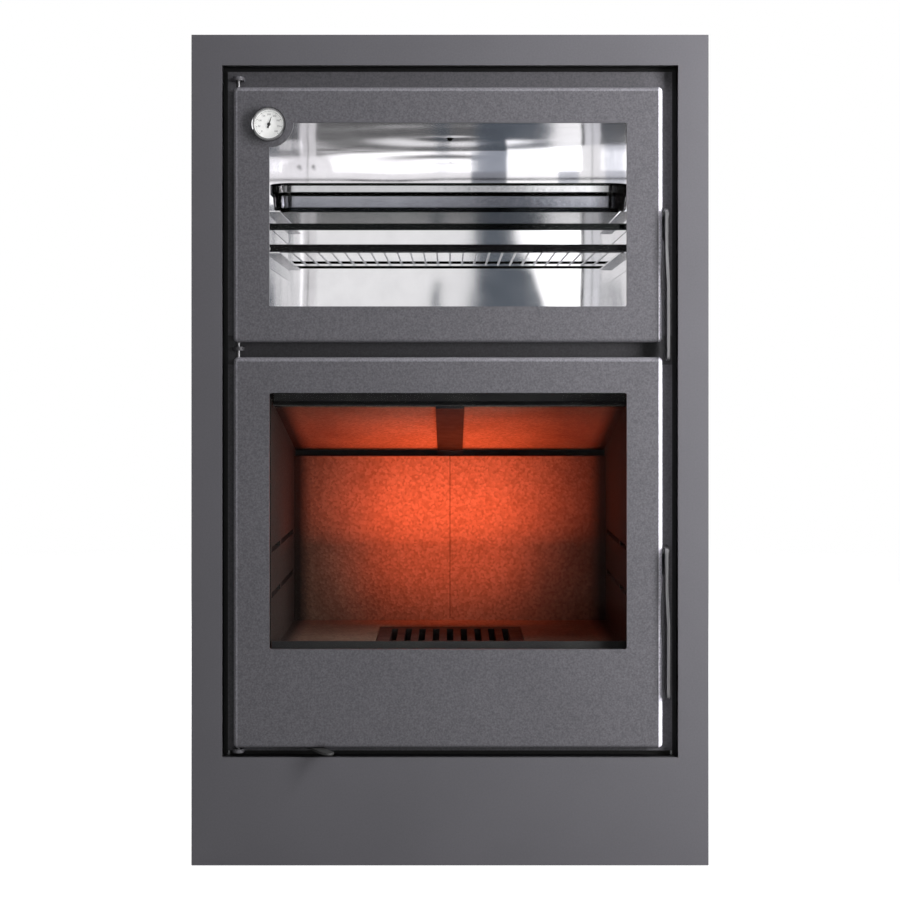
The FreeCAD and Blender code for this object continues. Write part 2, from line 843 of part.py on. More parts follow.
def make_rack(seat):
    half = mouth_half - rack_side_gap
    front = face_back + rack_front
    back = front + rack_length
    low_z = seat + rack_bar_radius
    wire_z = low_z + rack_bar_radius + rack_wire_radius
    high_z = wire_z + rack_wire_radius + rack_bar_radius
    pieces = []
    for bar_y in (front + rack_bar_inset, back - rack_bar_inset):
        for bar_z in (low_z, high_z):
            start = Vector(-half, bar_y, bar_z)
            pieces.append(sided_bar(start, RIGHT * (2 * half), rack_bar_radius, rack_wire_sides))
    count = int(2 * (half - rack_bar_inset) / rack_pitch) + 1
    first = -(count - 1) * rack_pitch / 2
    for step in range(count):
        start = Vector(first + step * rack_pitch, front, wire_z)
        pieces.append(sided_bar(start, BACK * rack_length, rack_wire_radius, rack_wire_sides))
    save("oven_rack", pieces)


# Welded body round the oven and the firebox, on its legs
def make_body():
    rear = body_back + body_sheet
    right = box((body_half, body_half + body_sheet), (face_back, rear), (body_floor_low, body_ceiling))
    save("body_right_side", right)
    save("body_left_side", mirrored(right))
    inner_x = (-body_half, body_half)
    save("body_back", box(inner_x, (body_back, rear), (body_floor_low, body_ceiling)))
    floor = box(inner_x, (face_back, body_back), (body_floor_low, body_floor_top))
    port_turn = math.radians(lever_swing - lever_angle)
    port_x = lever_x + shutter_reach * math.sin(port_turn)
    port_y = lever_y + shutter_reach * math.cos(port_turn)
    port = Vector(port_x, port_y, body_floor_low)
    save("body_floor", floor.cut(drill(port, UP * body_sheet, port_radius)))
    top = box(grown(inner_x, body_sheet), (face_back, rear), (body_ceiling, body_top))
    flue_y = face_back + flue_depth
    flue_hole = drill(Vector(0, flue_y, body_ceiling), UP * body_sheet, flue_radius - flue_ledge)
    save("body_top", top.cut(flue_hole))

    corner_x = body_half - leg_inset
    corner_y = face_back + leg_setback
    path = [(corner_x - leg_width, corner_y), (corner_x, corner_y), (corner_x, corner_y + leg_width)]
    front_right = prism_z(bent_strip(path, leg_sheet), (base_sheet, body_floor_low))
    back_right = front_right.mirror(Vector(0, (face_back + body_back) / 2, 0), BACK)
    save("body_legs", [front_right, back_right, mirrored(front_right), mirrored(back_right)])

    outer = flue_radius + flue_wall
    collar = [
        (flue_radius, 0),
        (outer + flue_flange, 0),
        (outer + flue_flange, flue_flange_sheet),
        (outer, flue_flange_sheet),
        (outer, flue_height),
        (flue_radius, flue_height),
    ]
    save("flue_collar", turned(collar, Vector(0, flue_y, body_top), UP))


# Outer casing
def make_casing():
    inner_x = (-casing_inner_half, casing_inner_half)
    apron_y = face_back + apron_setback
    path = [(apron_y, face_low - apron_gap), (apron_y, 0), (casing_inner_back, 0)]
    save("casing_base", prism_x(bent_strip(path, base_sheet), inner_x))
    right = box((casing_inner_half, face_half), (face_back, casing_inner_back), (0, casing_inner_top))
    save("casing_right_side", right)
    save("casing_left_side", mirrored(right))
    inlet_bore = inlet_radius - inlet_wall
    back = box((-face_half, face_half), (casing_inner_back, casing_back), (0, casing_inner_top))
    inlet = Vector(0, casing_inner_back, inlet_height)
    save("casing_back", back.cut(drill(inlet, BACK * casing_sheet, inlet_bore)))
    top = box((-face_half, face_half), (face_back, casing_back), (casing_inner_top, face_high))
    flue = Vector(0, face_back + flue_depth, casing_inner_top)
    collar_radius = flue_radius + flue_wall + flue_clearance
    save("casing_top", top.cut(drill(flue, UP * casing_sheet, collar_radius)))

    spigot = [
        (inlet_bore, 0),
        (inlet_radius + inlet_flange, 0),
        (inlet_radius + inlet_flange, inlet_flange_sheet),
        (inlet_radius, inlet_flange_sheet),
        (inlet_radius, inlet_flange_sheet + inlet_length),
        (inlet_bore, inlet_flange_sheet + inlet_length),
    ]
    save("air_inlet_spigot", turned(spigot, Vector(0, casing_back, inlet_height), BACK))


# Firebox: floor, linings, baffle and deflector
def baffle_underside(depth):
    """Height of the sloping underside of the baffle at a depth."""
    return baffle_front_z - (depth - baffle_front) * baffle_fall


def make_firebox():
    front = face_back + floor_setback
    grate_y = (lining_front + lining_back_face) / 2
    seat_x = grown((-grate_width / 2, grate_width / 2), grate_play)
    seat_y = grown((grate_y - grate_length / 2, grate_y + grate_length / 2), grate_play)
    floor = box((-lining_outer, lining_outer), (front, lining_back_rear), (floor_low, floor_top))
    floor = floor.cut(box(seat_x, seat_y, (floor_top - grate_thickness, floor_top + through)))
    hole_x = grown(seat_x, -grate_ledge)
    hole_y = grown(seat_y, -grate_ledge)
    save("firebox_floor", floor.cut(box(hole_x, hole_y, (floor_low - through, floor_top))))
    make_grate(grate_y)

    lip_half = lining_half - deflector_side_gap
    lip = [(front, floor_top + lip_height), (front, floor_top), (front + lip_foot, floor_top)]
    save("log_lip", prism_x(bent_strip(lip, lip_sheet), (-lip_half, lip_half)))

    rear = lining_back_rear
    side_outline = [
        (lining_front, floor_top),
        (rear, floor_top),
        (rear, baffle_underside(rear)),
        (lining_front, baffle_underside(lining_front)),
    ]
    right = prism_x(side_outline, (lining_half, lining_outer))
    slot_x = grown((lining_half, lining_outer), through)
    slot_start = lining_front + air_slot_front
    second_start = slot_start + air_slot_front_length + air_slot_bridge
    for rise in (air_slot_upper_rise, air_slot_lower_rise):
        slot_z = grown((floor_top + rise, floor_top + rise), air_slot_height / 2)
        right = right.cut(box(slot_x, (slot_start, slot_start + air_slot_front_length), slot_z))
        right = right.cut(box(slot_x, (second_start, second_start + air_slot_rear_length), slot_z))
    save("lining_right", right)
    save("lining_left", mirrored(right))

    panel_top = baffle_underside(rear) - rear_slot_height
    back_right = box((lining_seam / 2, lining_half), (lining_back_face, rear), (floor_top, panel_top))
    save("lining_back_right", back_right)
    save("lining_back_left", mirrored(back_right))

    # The bracket stands on the back panels, runs under the seam of the baffle and hooks its front edge.
    bracket_half = bracket_width / 2
    foot_y = (lining_back_face + rear) / 2
    bracket_path = [
        (foot_y, panel_top),
        (foot_y, baffle_underside(foot_y)),
        (baffle_front, baffle_front_z),
        (baffle_front, baffle_front_z + bracket_hook),
    ]
    save("baffle_bracket", prism_x(bent_strip(bracket_path, bracket_sheet), (-bracket_half, bracket_half)))

    baffle_outline = [
        (baffle_front, baffle_front_z),
        (rear, baffle_underside(rear)),
        (rear, baffle_underside(rear) + baffle_rise),
        (baffle_front, baffle_front_z + baffle_rise),
    ]
    baffle_right = prism_x(baffle_outline, (lining_seam / 2, lining_outer))
    save("baffle_right", baffle_right)
    save("baffle_left", mirrored(baffle_right))

    shelf_z = fire_mouth_high + deflector_lift
    deflector_y = face_back + deflector_depth
    deflector = [
        (face_back, shelf_z + deflector_flange),
        (face_back, shelf_z),
        (deflector_y, shelf_z),
        (deflector_y, shelf_z - deflector_drop),
        (deflector_y - deflector_lip, shelf_z - deflector_drop - deflector_lip_drop),
    ]
    save("air_wash_deflector", prism_x(bent_strip(deflector, deflector_sheet), (-lip_half, lip_half)))


def make_grate(middle_y):
    grate_x = (-grate_width / 2, grate_width / 2)
    grate_y = (middle_y - grate_length / 2, middle_y + grate_length / 2)
    grate = box(grate_x, grate_y, (floor_top - grate_thickness, floor_top))
    pitch = (grate_width - 2 * grate_slot_margin) / (grate_slots - 1)
    for step in range(grate_slots):
        middle = grate_x[0] + grate_slot_margin + step * pitch
        slot_x = grown((middle, middle), grate_slot_width / 2)
        slot_z = grown((floor_top - grate_thickness, floor_top), through)
        slot = box(slot_x, grown(grate_y, -grate_slot_margin), slot_z)
        grate = grate.cut(slot)
    save("grate", grate)


# Ash chamber and ash pan under the grate
def make_ash_chamber():
    half = ash_chamber_width / 2
    front = face_back + floor_setback
    back = front + ash_chamber_length
    path = [(-half, front), (-half, back), (half, back), (half, front)]
    save("ash_chamber", prism_z(bent_strip(path, ash_chamber_sheet), (body_floor_top, floor_low)))

    pan_x = grown((-half, half), -ash_pan_play)
    pan_y = grown((front, back), -ash_pan_play)
    pan_z = (body_floor_top, floor_low - ash_pan_head)
    block = box(pan_x, pan_y, pan_z)
    block = block.makeFillet(ash_pan_corner, edges_along(block, UP))
    hollow_z = (pan_z[0] + ash_pan_sheet, pan_z[1] + through)
    hollow = box(grown(pan_x, -ash_pan_sheet), grown(pan_y, -ash_pan_sheet), hollow_z)
    hollow = hollow.makeFillet(ash_pan_corner - ash_pan_sheet, edges_along(hollow, UP))
    grip_path = [
        (pan_y[0] + ash_pan_sheet, pan_z[1]),
        (pan_y[0] - ash_pan_grip, pan_z[1]),
        (pan_y[0] - ash_pan_grip, pan_z[1] - ash_pan_grip_drop),
    ]
    grip = prism_x(bent_strip(grip_path, ash_pan_sheet), (-ash_pan_grip_width / 2, ash_pan_grip_width / 2))
    save("ash_pan", block.cut(hollow).fuse(grip).removeSplitter())


# Air lever, shutter and pivot bolt
def lever_slot(cut_y):
    """Slot in the face plate that the lever swings in, hidden behind the lower edge of the fire door."""
    reach = lever_y - face_front
    right_turn = math.radians(lever_angle)
    left_turn = math.radians(lever_swing - lever_angle)
    right = reach * math.tan(right_turn) + lever_width / 2 / math.cos(right_turn) + lever_slot_side
    left = reach * math.tan(left_turn) + lever_width / 2 / math.cos(left_turn) + lever_slot_side
    return box((lever_x - left, lever_x + right), cut_y, grown((lever_low, lever_top), lever_slot_clearance))


def make_air_control():
    center = Vector(lever_x, lever_y, 0)
    tip_y = -lever_length + lever_width / 2
    bore = drill(UP * lever_low, UP * (shutter_top - lever_low), pivot_radius + pivot_running_fit)
    lever = box((-lever_width / 2, lever_width / 2), (tip_y, 0), (lever_low, lever_top))
    lever = lever.fuse(rod(Vector(0, tip_y, lever_low), UP * lever_thickness, lever_width / 2))
    lever = lever.fuse(rod(UP * lever_low, UP * (shutter_low - lever_low), lever_hub_radius))
    shutter = rod(Vector(0, shutter_reach, shutter_low), UP * shutter_sheet, shutter_radius)
    web_x = (-shutter_web / 2, shutter_web / 2)
    shutter = shutter.fuse(box(web_x, (-shutter_hub_reach, shutter_reach), (shutter_low, shutter_top)))
    for node, piece in (("air_lever", lever), ("air_shutter", shutter)):
        piece = piece.removeSplitter().cut(bore)
        piece.rotate(Vector(0, 0, 0), UP, lever_angle)
        piece.translate(center)
        save(node, piece)

    head_top = lever_low - shutter_gap
    bolt = rod(center + UP * head_top, UP * (body_floor_low - head_top), pivot_radius)
    head = sided_bar(center + UP * head_top, -UP * pivot_head_height, pivot_head_radius, hexagon_sides)
    save("air_lever_pivot", bolt.fuse(head))


os.makedirs("parts", exist_ok=True)
make_trim()
make_face_plate()
make_hinges()
oven_window_z = (oven_window_low, oven_window_high)
fire_window_z = (fire_window_low, fire_window_high)
make_door("oven", (oven_door_low, oven_door_high), oven_window_z, oven_pivot_z, lobe_radius)
make_door("fire", (fire_door_low, fire_door_high), fire_window_z, fire_pivot_z, None)
make_handle("oven", oven_pivot_z)
make_handle("fire", fire_pivot_z)
make_thermometer()
make_oven()
make_body()
make_casing()
make_firebox()
make_ash_chamber()
make_air_control()
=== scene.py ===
import math

import bmesh
import bpy
from mathutils import Matrix, Vector


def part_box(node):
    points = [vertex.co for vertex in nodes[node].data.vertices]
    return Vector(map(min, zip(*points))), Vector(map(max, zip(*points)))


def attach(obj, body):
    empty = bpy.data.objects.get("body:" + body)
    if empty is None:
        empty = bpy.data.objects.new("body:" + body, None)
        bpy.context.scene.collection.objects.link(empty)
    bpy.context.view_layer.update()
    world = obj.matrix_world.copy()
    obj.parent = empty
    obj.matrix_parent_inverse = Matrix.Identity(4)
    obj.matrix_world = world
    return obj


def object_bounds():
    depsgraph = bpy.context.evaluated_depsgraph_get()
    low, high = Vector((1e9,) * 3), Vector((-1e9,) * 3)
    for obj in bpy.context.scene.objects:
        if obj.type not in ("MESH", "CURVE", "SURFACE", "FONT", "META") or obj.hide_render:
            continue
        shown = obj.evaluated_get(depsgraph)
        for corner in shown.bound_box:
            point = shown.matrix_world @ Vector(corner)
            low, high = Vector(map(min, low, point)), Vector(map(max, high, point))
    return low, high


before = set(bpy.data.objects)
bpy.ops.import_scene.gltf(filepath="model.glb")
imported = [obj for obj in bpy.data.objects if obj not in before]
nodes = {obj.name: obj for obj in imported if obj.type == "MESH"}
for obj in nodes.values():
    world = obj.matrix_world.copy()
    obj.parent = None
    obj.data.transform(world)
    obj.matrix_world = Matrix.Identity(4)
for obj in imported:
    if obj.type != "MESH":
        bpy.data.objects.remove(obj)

cad_low, cad_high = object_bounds()
scene = bpy.context.scene

REAR = Vector((0, 1, 0))
RIGHT = Vector((1, 0, 0))

# Places that the looks share, in metres, read from the frame
trim_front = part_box("trim_frame")[0].y
firebox_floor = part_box("firebox_floor")[1].z
firebox_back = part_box("lining_back_left")[0].y
oven_sheet = 0.002
oven_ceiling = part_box("oven_box")[1].z - oven_sheet
face_low, face_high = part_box("face_plate")
oven_door_low, oven_door_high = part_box("oven_door_frame")
fire_door_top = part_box("fire_door_frame")[1].z
bolt_low, bolt_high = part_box("oven_ceiling_bolt")
bolt_place = (bolt_low + bolt_high) / 2
tray_low, tray_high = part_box("oven_tray")
rack_low, rack_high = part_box("oven_rack")
dial_low, dial_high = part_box("thermometer_dial")
dial_place = (dial_low + dial_high) / 2
dial_radius = (dial_high.x - dial_low.x) / 2

# Camera: level, straight at the front, one picture width across the trim's plane
camera_distance = 2.5
eye_height = 0.664
picture_width = 1.26
picture_centre_height = 0.5816
sensor_width = 36.0

# Studio: a white surround, and a floor that fades into it
world_seen = 1.0
world_light = 0.06
floor_radius = 9.0
floor_sides = 96
floor_fade = (1.5, 5.0)
floor_glow = (0.8, 1.0)
floor_glow_reach = (0.5, 1.6)
floor_bounce = 0.1

# Backdrop behind the camera that the polished faces mirror: its outline, and its tones from left to right
wall_distance = 0.5
wall_half = 0.85
wall_height = 1.75
wall_change = (0.58, 0.64)
wall_change_across = (0.1, 0.4)
wall_waviness = 0.03
wall_low_tones = (0.14, 1.12)
wall_high_tones = (0.88, 1.75)

# Two grey shapes in front of the backdrop, as outlines across and upwards
wedge_gap = 0.05
wedge_outline = [
    (0.08, 0.3), (0.345, 0.3), (0.34, 0.96), (0.305, 1.09),
    (0.235, 1.2), (0.2, 1.7), (0.08, 1.7),
]
strip_outline = [(-0.056, 0.3), (-0.013, 0.3), (-0.02, 1.05), (-0.05, 1.05)]
wedge_shade = (0.082, 0.096, 0.115)
wedge_lightening = 1.15

# Soft lights: place, point that each looks at, width, height, watts and colour
soft_lights = {
    "key_right": ((1.25, -1.05, 0.95), (0.05, -0.25, 0.65), 0.5, 1.6, 52.0, (1.0, 0.99, 1.0)),
    "top_soft": ((0.1, -1.15, 2.15), (0.0, -0.25, 1.0), 1.4, 0.15, 7.0, (0.98, 0.98, 1.0)),
    "back_fill": ((-0.4, 2.6, 1.7), (0.0, 0.0, 0.6), 1.8, 1.4, 110.0, (1.0, 1.0, 1.0)),
    "left_fill": ((-2.4, 0.3, 1.3), (0.0, 0.0, 0.6), 1.2, 1.4, 34.0, (1.0, 1.0, 1.0)),
}

# Oven light in a frame behind the rails of its door: limits across, limits in height, radiance and colour
oven_light_setback = 0.004
oven_light_top = 1.0555
oven_light_bottom = 0.77
oven_light_half = 0.2645
oven_light_inner = 0.2505
oven_lights = {
    "oven_light_left": ((-oven_light_half, 0.038), (1.01, oven_light_top), 1.0, (1.0, 0.99, 1.0)),
    "oven_light_middle": ((0.038, 0.106), (1.003, oven_light_top), 0.3, (0.86, 0.9, 1.0)),
    "oven_light_right": ((0.106, 0.2), (0.99, oven_light_top), 1.3, (1.0, 1.0, 1.0)),
    "oven_light_streak": ((0.2, 0.24), (0.99, oven_light_top), 0.7, (0.9, 0.93, 1.0)),
    "oven_light_end": ((0.24, oven_light_half), (0.99, oven_light_top), 1.0, (1.0, 1.0, 1.0)),
    "oven_light_side_left": (
        (-oven_light_half, -oven_light_inner), (oven_light_bottom, 1.01), 0.7, (1.0, 0.99, 1.0),
    ),
    "oven_light_side_right": (
        (oven_light_inner, oven_light_half), (oven_light_bottom, 0.99), 0.75, (0.96, 0.97, 1.0),
    ),
}

# Warm light in the firebox: place behind the trim and over the floor, direction, size and radiance
firebox_colour = (1.0, 0.115, 0.035)
firebox_lights = {
    "firebox_light_back": ((-0.01, 0.33, 0.15), (0, 1, 0.1), (0.28, 0.2), 2.1),
    "firebox_light_up": ((-0.01, 0.27, 0.12), (0, 0, 1), (0.4, 0.16), 6.6),
}

# Nodes that leave no image of themselves in the polished sheet
unmirrored_nodes = ["oven_tray", "oven_rack", "oven_runners", "oven_ceiling_bolt"]


class Look:
    """One procedural material. Its textures are in metres, in the frame of the object that wears it."""

    def __init__(self, name):
        self.material = bpy.data.materials.new(name)
        self.material.use_nodes = True
        self.tree = self.material.node_tree
        self.surface = self.tree.nodes["Principled BSDF"]
        self.metres = self.add("ShaderNodeTexCoord").outputs["Object"]

    def add(self, kind, inputs=None, **settings):
        node = self.tree.nodes.new(kind)
        for key, value in settings.items():
            setattr(node, key, value)
        for key, value in (inputs or {}).items():
            self.feed(node.inputs[key], value)
        return node

    def feed(self, socket, value):
        if isinstance(value, bpy.types.NodeSocket):
            self.tree.links.new(value, socket)
        else:
            socket.default_value = value

    def set(self, **values):
        for key, value in values.items():
            socket = "Specular IOR Level" if key == "specular" else key.replace("_", " ").title()
            self.feed(self.surface.inputs[socket], value)
        return self

    def axis(self, letter):
        return self.add("ShaderNodeSeparateXYZ", {"Vector": self.metres}).outputs[letter]

    def noise(self, scale, detail=3.0, stretch=(1, 1, 1)):
        stretched = self.add("ShaderNodeMapping", {"Vector": self.metres, "Scale": stretch}).outputs["Vector"]
        inputs = {"Vector": stretched, "Scale": scale, "Detail": detail}
        return self.add("ShaderNodeTexNoise", inputs).outputs["Fac"]

    def cells(self, scale, output="Color"):
        inputs = {"Vector": self.metres, "Scale": scale}
        return self.add("ShaderNodeTexVoronoi", inputs).outputs[output]

    def waves(self, scale, direction, distortion=0.0):
        inputs = {"Vector": self.metres, "Scale": scale, "Distortion": distortion}
        return self.add("ShaderNodeTexWave", inputs, bands_direction=direction).outputs["Fac"]

    def spread(self, factor, low, high, start=0.0, end=1.0):
        inputs = {"Value": factor, "From Min": start, "From Max": end, "To Min": low, "To Max": high}
        return self.add("ShaderNodeMapRange", inputs).outputs["Result"]

    def maths(self, operation, first, second=0.0):
        node = self.add("ShaderNodeMath", operation=operation)
        self.feed(node.inputs[0], first)
        self.feed(node.inputs[1], second)
        return node.outputs["Value"]

    def inside(self, letter, low, high):
        """One between two limits along an axis, nought outside them."""
        above = self.maths("GREATER_THAN", self.axis(letter), low)
        return self.maths("MULTIPLY", above, self.maths("LESS_THAN", self.axis(letter), high))

    def distance_from(self, centre, stretch=(1, 1, 1)):
        offset = self.add("ShaderNodeVectorMath", {0: self.metres, 1: centre}, operation="SUBTRACT")
        inputs = {0: offset.outputs["Vector"], 1: stretch}
        scaled = self.add("ShaderNodeVectorMath", inputs, operation="MULTIPLY")
        length = self.add("ShaderNodeVectorMath", {0: scaled.outputs["Vector"]}, operation="LENGTH")
        return length.outputs["Value"]

    def ramp(self, factor, *stops):
        node = self.add("ShaderNodeValToRGB", {"Fac": factor})
        marks = node.color_ramp.elements
        while len(marks) < len(stops):
            marks.new(1.0)
        for mark, (place, colour) in zip(marks, stops):
            mark.position = place
            mark.color = (*colour, 1.0)
        return node.outputs["Color"]

    def two_tone(self, factor, dark, light, start=0.3, end=0.7):
        return self.ramp(factor, (start, dark), (end, light))

    def blend(self, factor, first, second, kind="MIX"):
        node = self.add("ShaderNodeMix", data_type="RGBA", blend_type=kind)
        sockets = {socket.identifier: socket for socket in node.inputs}
        self.feed(sockets["Factor_Float"], factor)
        self.feed(sockets["A_Color"], first)
        self.feed(sockets["B_Color"], second)
        return next(socket for socket in node.outputs if socket.identifier == "Result_Color")

    def times(self, first, second):
        return self.blend(1.0, first, second, "MULTIPLY")

    def rough(self, factor, smooth, dull):
        return self.set(roughness=self.spread(factor, smooth, dull))

    def bump(self, relief, height):
        inputs = {"Height": relief, "Distance": height, "Strength": 1.0}
        return self.set(normal=self.add("ShaderNodeBump", inputs).outputs["Normal"])


# A grey's green share moves against its blue share by this much
green_shift = 0.3
white = (1, 1, 1)


def grey(level, blue=1.08):
    return (level, level * (1 + (1 - blue) * green_shift), level * blue)


# The trim's inner lip is painted black as painted shadow, where the recess is in shade: its depth behind the
# trim, and its reach round the face plate
lip_depth = (0.004, 0.008)
lip_reach = 0.012
lip_painted_shadow_tone = 0.04

# Painted shade on the face plate between the two doors, where the oven door's shadow falls
gap_overlap = 0.01
gap_painted_shade = 0.42

# Painted highlights along the doors' rounded edges, where they catch the light: their width, and how much
# lighter each is
edge_highlight_width = 0.006
edge_highlight_fade = 0.0008
edge_highlight_right = 7.5
edge_highlight_left = 1.9
edge_highlight_top = 1.85

# Stove paint: how much its sheen varies, and the height of its skin for each unit of grain
paint_unevenness = 0.05
paint_skin = 0.0005


def painted_lip_shadow(look):
    """Painted shadow: how dark the paint is made in the trim's lip, where the recess is in shade."""
    across = look.inside("X", face_low.x - lip_reach, face_high.x + lip_reach)
    upright = look.inside("Z", face_low.z - lip_reach, face_high.z + lip_reach)
    start, end = lip_depth
    deep = look.spread(look.axis("Y"), 0.0, 1.0, trim_front + start, trim_front + end)
    lip = look.maths("MULTIPLY", deep, look.maths("MULTIPLY", across, upright))
    return look.spread(lip, 1.0, lip_painted_shadow_tone)


def painted_edge_highlights(look):
    """Painted highlight: how much lighter the paint is made along the side and top edges of both doors."""
    right = oven_door_high.x - edge_highlight_width
    left = oven_door_low.x + edge_highlight_width
    right_edge = look.spread(look.axis("X"), 1.0, edge_highlight_right, right, right + edge_highlight_fade)
    left_edge = look.spread(look.axis("X"), edge_highlight_left, 1.0, left - edge_highlight_fade, left)
    lighter = look.maths("MAXIMUM", right_edge, left_edge)
    for top in (oven_door_high.z, fire_door_top):
        edge = look.inside("Z", top - edge_highlight_width, top)
        lighter = look.maths("MAXIMUM", lighter, look.spread(edge, 1.0, edge_highlight_top))
    return lighter


def painted_shade_between_doors(look):
    """Painted shade: how dark the paint is made behind the gap between the doors, in the oven door's shadow.
    """
    between = look.inside("Z", fire_door_top - gap_overlap, oven_door_low.z + gap_overlap)
    return look.spread(between, 1.0, gap_painted_shade)


def stove_paint(name, level, roughness, grain, painted_light):
    look = Look(name)
    speckle = look.noise(scale=420, detail=2)
    fine = look.two_tone(speckle, grey(level * (1 - grain)), grey(level * (1 + grain)))
    broad = look.two_tone(look.noise(scale=7), (0.93, 0.93, 0.93), white)
    # Each finish's painted shade or painted highlight multiplies its tone here
    tone = look.times(look.times(fine, broad), painted_light(look))
    look.set(base_color=tone, metallic=0.1, specular=0.35)
    sheen = look.noise(scale=140, detail=2)
    look.rough(sheen, smooth=roughness - paint_unevenness, dull=roughness + paint_unevenness)
    return look.bump(look.noise(scale=900, detail=2), height=paint_skin * grain).material


def black_paint(name):
    look = Look(name)
    dust = look.noise(scale=16, detail=5)
    tone = look.two_tone(dust, grey(0.016), grey(0.035, blue=0.95), start=0.35, end=0.75)
    look.set(base_color=tone)
    look.rough(look.noise(scale=60, detail=2), smooth=0.55, dull=0.8)
    return look.bump(look.noise(scale=700, detail=2), height=0.00012).material


def galvanised(name):
    look = Look(name)
    flakes = look.cells(scale=85)
    shade = look.two_tone(flakes, (0.36, 0.37, 0.38), (0.62, 0.63, 0.65), start=0.1, end=0.9)
    stain = look.two_tone(look.noise(scale=5, detail=5), (0.8, 0.8, 0.81), white, start=0.35)
    look.set(base_color=look.times(shade, stain), metallic=1.0)
    look.rough(flakes, smooth=0.34, dull=0.52)
    return look.bump(look.noise(scale=35), height=0.0003).material


# Sheet of the oven: its ripple, and the rings that the ceiling bolt has pressed into the ceiling
ripple_height = 0.0012
ceiling_band = 0.012
dent_stretch = (4.6, 7.5, 0)
dent_rings = 5.5
dent_height = 0.0004
dent_fade = (0.2, 1.3)


def polished_stainless(name):
    look = Look(name)
    smudge = look.noise(scale=22, detail=4)
    look.set(base_color=look.two_tone(smudge, (0.83, 0.82, 0.84), (0.9, 0.89, 0.91)), metallic=1.0)
    look.rough(smudge, smooth=0.03, dull=0.08)
    ripple = look.maths("MULTIPLY", look.noise(scale=4.5, detail=1), ripple_height)
    dent_radius = look.distance_from(tuple(bolt_place), dent_stretch)
    dent = look.maths("SINE", look.maths("MULTIPLY", dent_radius, dent_rings))
    near_ceiling = look.spread(look.axis("Z"), 0.0, 1.0, oven_ceiling - ceiling_band, oven_ceiling)
    fading = look.spread(dent_radius, dent_height, 0.0, *dent_fade)
    dent = look.maths("MULTIPLY", dent, look.maths("MULTIPLY", near_ceiling, fading))
    return look.bump(look.maths("ADD", ripple, dent), height=1.0).material


# Rack: share of its height that the chromed wires take, between the dark cross bars
wire_share = (0.37, 0.63)
wire_blend = 0.01
wire_tone = (0.8, 0.8, 0.82)
cross_bar_tone = (0.012, 0.012, 0.012)


def bar_surface(look):
    """Metal of the rack's wires and of the black bars."""
    look.set(metallic=1.0)
    look.rough(look.noise(scale=300, detail=2), smooth=0.12, dull=0.25)
    return look.bump(look.noise(scale=900, detail=2), height=0.00004).material


def rack_wire(name):
    look = Look(name)
    share = look.spread(look.axis("Z"), 0.0, 1.0, rack_low.z, rack_high.z)
    low, high = wire_share
    lower = [(low - wire_blend, cross_bar_tone), (low, wire_tone)]
    upper = [(high, wire_tone), (high + wire_blend, cross_bar_tone)]
    wear = look.two_tone(look.noise(scale=60), (0.8, 0.8, 0.8), white)
    look.set(base_color=look.times(look.ramp(share, *lower, *upper), wear))
    return bar_surface(look)


def black_bar(name):
    look = Look(name)
    look.set(base_color=look.two_tone(look.noise(scale=60), grey(0.008), grey(0.014)))
    return bar_surface(look)


# Painted reflections and shade on the tray's polished steel: light and dark bands from its bottom to its rim,
# as shares of its height
tray_painted_reflection_bands = [
    (0.0, (0.04, 0.045, 0.05)),
    (0.15, (0.04, 0.045, 0.05)),
    (0.18, (0.33, 0.335, 0.38)),
    (0.53, (0.38, 0.385, 0.43)),
    (0.55, (0.03, 0.032, 0.03)),
    (0.66, (0.03, 0.032, 0.03)),
    (0.69, (0.7, 0.7, 0.72)),
    (0.89, (0.7, 0.7, 0.72)),
    (0.91, (0.02, 0.022, 0.02)),
]
# Painted shade at the tray's rounded ends: its darkest share, and where it fades in at the left and right
tray_end_painted_shade = 0.03
tray_left_fade = (-0.243, -0.222)
tray_right_fade = (0.2, 0.236)


def tray_steel(name):
    look = Look(name)
    share = look.spread(look.axis("Z"), 0.0, 1.0, tray_low.z, tray_high.z)
    # Painted reflections and shade: bands by height, darkened at both ends; the noise is wear
    bands = look.ramp(share, *tray_painted_reflection_bands)
    left = look.spread(look.axis("X"), tray_end_painted_shade, 1.0, *tray_left_fade)
    right = look.spread(look.axis("X"), 1.0, tray_end_painted_shade, *tray_right_fade)
    wear = look.spread(look.noise(scale=30, detail=4), low=0.85, high=1.0, start=0.3, end=0.75)
    shade = look.maths("MULTIPLY", look.maths("MULTIPLY", left, right), wear)
    look.set(base_color=look.times(bands, shade), metallic=1.0)
    look.rough(look.noise(scale=90), smooth=0.1, dull=0.18)
    return look.bump(look.noise(scale=160, detail=2), height=0.00006).material


# Runners: heights and tone of the black bar that hangs from the upper pair
bar_heights = (0.8935, 0.9037)
bar_tone = (0.01, 0.011, 0.011, 1.0)


def runner_steel(name):
    look = Look(name)
    smudge = look.noise(scale=22, detail=4)
    steel = look.two_tone(smudge, (0.8, 0.79, 0.81), (0.88, 0.87, 0.89))
    look.set(base_color=look.blend(look.inside("Z", *bar_heights), steel, bar_tone), metallic=1.0)
    look.rough(smudge, smooth=0.06, dull=0.12)
    return look.bump(look.noise(scale=160, detail=2), height=0.00006).material


def cast_iron(name):
    look = Look(name)
    rust = look.noise(scale=40, detail=5)
    look.set(base_color=look.two_tone(rust, (0.02, 0.019, 0.018), (0.075, 0.062, 0.055), end=0.75))
    look.set(metallic=0.4)
    look.rough(look.noise(scale=200, detail=2), smooth=0.6, dull=0.85)
    return look.bump(look.noise(scale=420), height=0.0006).material


# Lining: flakes of the board, the cleaner middle of the back, and soot that grows towards the sides, deepened
# there into painted shade
board_flake = 260
clean_rise = 0.17
clean_stretch = (4.2, 1.6, 2.6)
clean_raggedness = 0.2
side_soot_and_shade = 0.08
side_soot_and_shade_reach = (0.225, 0.246)


